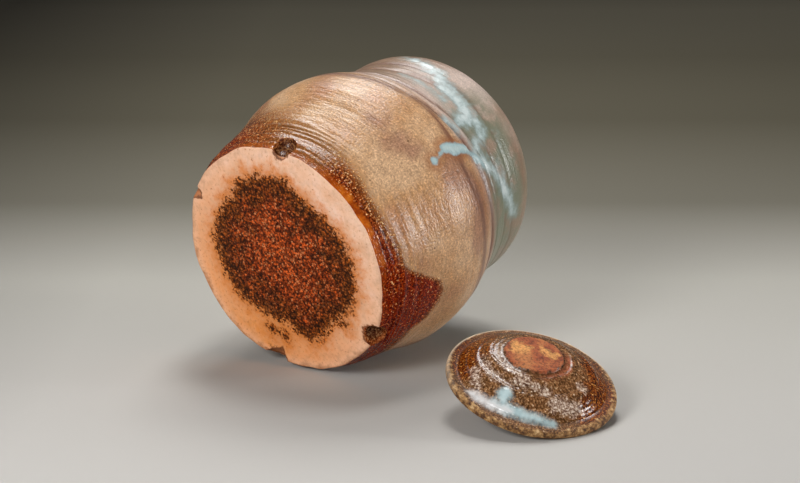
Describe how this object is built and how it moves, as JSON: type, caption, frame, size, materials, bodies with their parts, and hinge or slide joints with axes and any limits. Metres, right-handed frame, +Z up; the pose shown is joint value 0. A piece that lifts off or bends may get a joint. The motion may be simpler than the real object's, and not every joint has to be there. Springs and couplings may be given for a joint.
{
  "type": "tea ceremony water jar",
  "caption": "Wheel-thrown stoneware water jar with a round belly, collar and drop-in dish lid with a knob, lying on its side with the lid off beside it.",
  "frame": {"origin": "on the floor, under the middle of the box round jar and lid", "axes": "+Z up, +X level and along the lying jar from its foot towards its mouth, +Y towards the side of the jar away from the lid"},
  "size_m": [0.1954, 0.2843, 0.173],
  "materials": {
    "jar_stoneware": "glossy tan and brown glaze with pale blue runs, bare clay foot",
    "lid_stoneware": "glossy dark brown glaze, bare clay rim and disc"
  },
  "bodies": {
    "jar": {"jar": "jar_stoneware"},
    "lid": {"lid": "lid_stoneware"}
  },
  "joints": [
    {"name": "lid_lift", "type": "slide", "parent": "jar", "child": "lid", "axis": [0, 0, 1], "range_m": [0, 0.2]}
  ]
}
